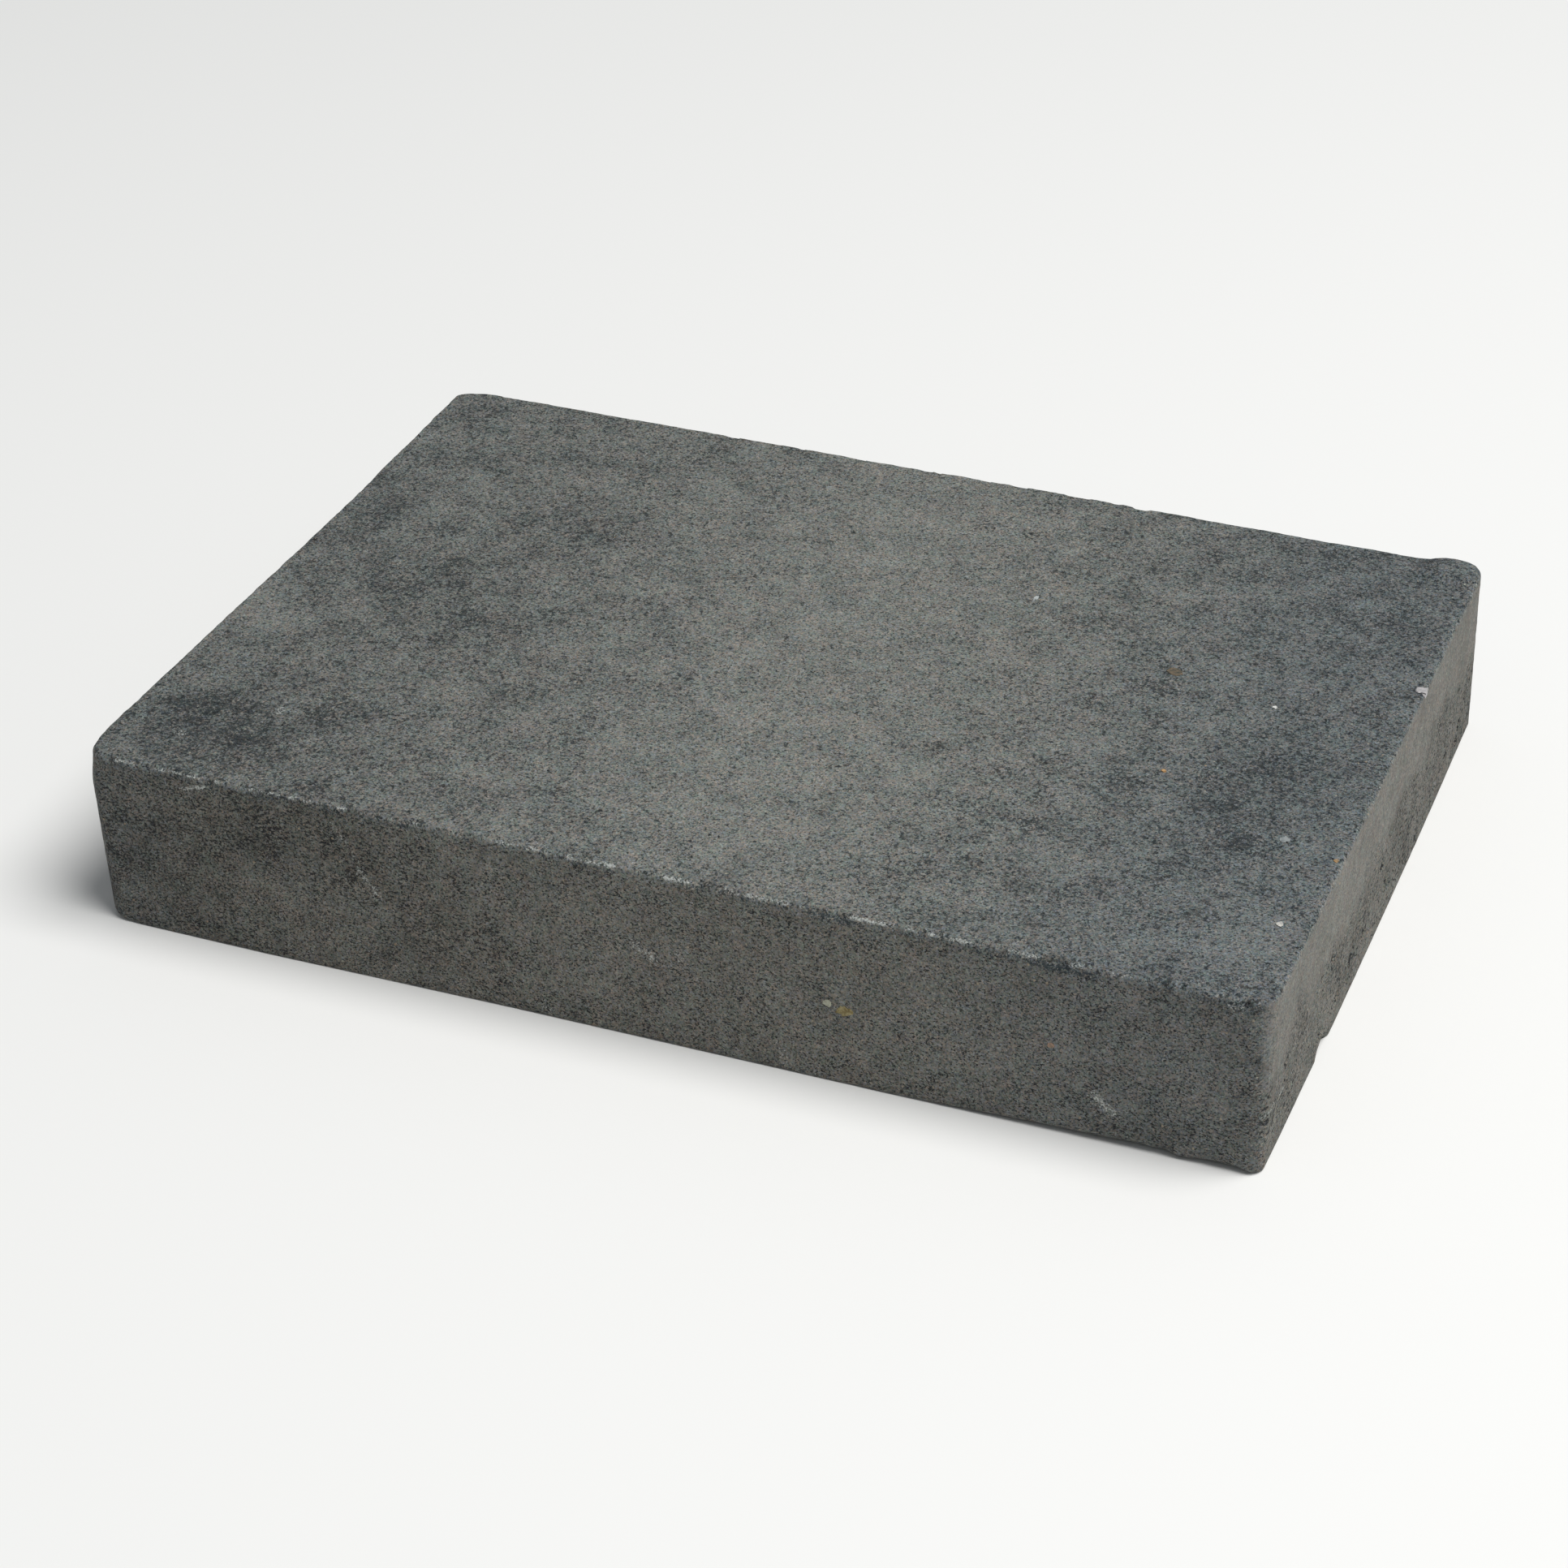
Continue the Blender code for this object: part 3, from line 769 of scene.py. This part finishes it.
    # relief of the grains and pores
    height = patterns["ragged"]
    for source, share in ((fine.outputs["Distance"], -0.7), (darkTop, -0.6), (pores, -1.0)):
        height = addNode(tree, "Math", {"operation": "MULTIPLY_ADD", 0: source, 1: share, 2: height})
    bump = addNode(tree, "Bump", {"Strength": 0.8, "Distance": grit["relief"], "Height": height})
    tree.links.new(bump.outputs["Normal"], shader.inputs["Normal"])
    shader.inputs["Roughness"].default_value = 0.92
    shader.inputs["Specular IOR Level"].default_value = 0.25
    return material


def makeBlock():
    shape = layOutBlock()
    block = showPiece("worn_stone_block", shape, bondedGrit(), "stone_body")
    places, normals, inset = shapeBlock(block.data)
    paintBlock(block.data, places, normals, inset)
    print("stone block:", len(block.data.polygons), "faces")


# the large grains

# by CAD piece: name, light and dark colour, slot, roughness, and its size against the CAD grain
grains = {
    "ochre_pebble_front": ("ochre_pebble", "#9a9069", "#65552f", "ochre_pebble", 0.85, 0.9),
    "pale_grain_front": ("pale_grain", "#a9a996", "#858576", "pale_grain", 0.55, 0.9),
    "quartz_grain_right_edge": ("edge_quartz", "#bdb9b8", "#9c9a9a", "quartz_grain", 0.55, 0.66),
    "quartz_grain_top_right": ("corner_quartz", "#cfccc2", "#a5a49f", "quartz_grain", 0.55, 0.62),
    "pale_flat_grain_top": ("flat_pale_grain", "#8e9392", "#717778", "pale_grain", 0.85, 0.85),
    "white_grain_front_left": ("dusty_grain", "#96958f", "#6b6a66", "pale_grain", 0.55, 0.9),
    "brown_grain_top": ("brown_grain", "#6c5f4e", "#44453c", "brown_grain", 0.85, 0.9),
    "white_chip_top": ("white_chip", "#dcdcd6", "#b9bab6", "quartz_grain", 0.55, 0.8),
    "orange_grain_top": ("orange_grain", "#b79468", "#a27a4c", "orange_grain", 0.55, 0.7),
    "orange_grain_right_edge": ("edge_orange_grain", "#b08a5c", "#8e7555", "orange_grain", 0.55, 0.75),
    "white_sliver_top": ("white_sliver", "#b4b8b6", "#8f9594", "quartz_grain", 0.85, 0.9),
    "rust_grain_front": ("rust_grain", "#a18672", "#75675a", "rust_grain", 0.85, 0.95),
}


def brokenMineral(name, light, dark, roughness):
    # one crushed mineral grain: cloudy, with darker veins and a dull to slightly glassy break
    material, tree, shader = newMaterial(name)
    place = addNode(tree, "TexCoord").outputs["Object"]
    cloud = addNode(tree, "TexNoise", {
        "Vector": place, "Scale": 1 / (0.7 * mm), "Detail": 4.0, "Roughness": 0.65})
    tint = addNode(tree, "ValToRGB", {"Fac": cloud}, stops=((0.36, dark), (0.58, light)))
    tree.links.new(tint.outputs["Color"], shader.inputs["Base Color"])
    bump = addNode(tree, "Bump", {"Strength": 0.6, "Distance": 0.08 * mm, "Height": cloud})
    tree.links.new(bump.outputs["Normal"], shader.inputs["Normal"])
    shader.inputs["Roughness"].default_value = roughness
    shader.inputs["Specular IOR Level"].default_value = 0.4
    return material


def crushGrain(dice):
    # flats knocked off a ball leave a faceted, crushed outline
    shape = bmesh.new()
    bmesh.ops.create_icosphere(shape, subdivisions=4, radius=1.0)
    flats = []
    for cut in range(7):
        direction = Vector((dice.gauss(0, 1), dice.gauss(0, 1), dice.gauss(0, 1)))
        flats.append(direction.normalized())
    for vert in shape.verts:
        outward = vert.co.normalized()
        reach = 1.05 + 0.6 * noise.noise(outward * 1.7 + flats[0] * 9)
        reach += 0.45 * noise.noise(outward * 4.5 + flats[1] * 9)
        for flat in flats:
            facing = outward.dot(flat)
            if facing > 0.3:
                reach = min(reach, 0.82 / facing)
        vert.co = outward * reach
    return shape


def makeGrains():
    # each grain is ground off level with the face that it lies in, and stands just proud of it
    for node, (name, light, dark, slot, roughness, share) in grains.items():
        low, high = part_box(node)
        middle = (low + high) / 2
        half = (high - low) / 2
        faces = [(1, -1, -halfWidth)] if low.y < -halfWidth + 0.5 * mm else [(2, 1, topHeight)]
        if high.x > halfLength - 0.5 * mm:
            faces.append((0, 1, halfLength))
        for axis, side, level in faces:
            middle[axis] = level if axis else level - 0.35 * mm
            half[axis] = max(2 * half[axis], 0.6 * mm)
        half *= share
        shape = crushGrain(random.Random(name))
        bmesh.ops.scale(shape, vec=half, verts=shape.verts)
        bmesh.ops.translate(shape, vec=middle, verts=shape.verts)
        for axis, side, level in faces:
            proud = level + side * 0.14 * mm
            for vert in shape.verts:
                over = (vert.co[axis] - proud) * side
                if over > 0:
                    ripple = noise.noise(vert.co / (0.5 * mm)) * 0.04 * mm
                    vert.co[axis] = proud + side * (0.03 * over + ripple)
        bmesh.ops.recalc_face_normals(shape, faces=shape.faces)
        showPiece(name, shape, brokenMineral(name, light, dark, roughness), node)
    print("large grains:", len(grains))


makeCamera()
makeLights()
makeFloor()
makeBlock()
makeGrains()
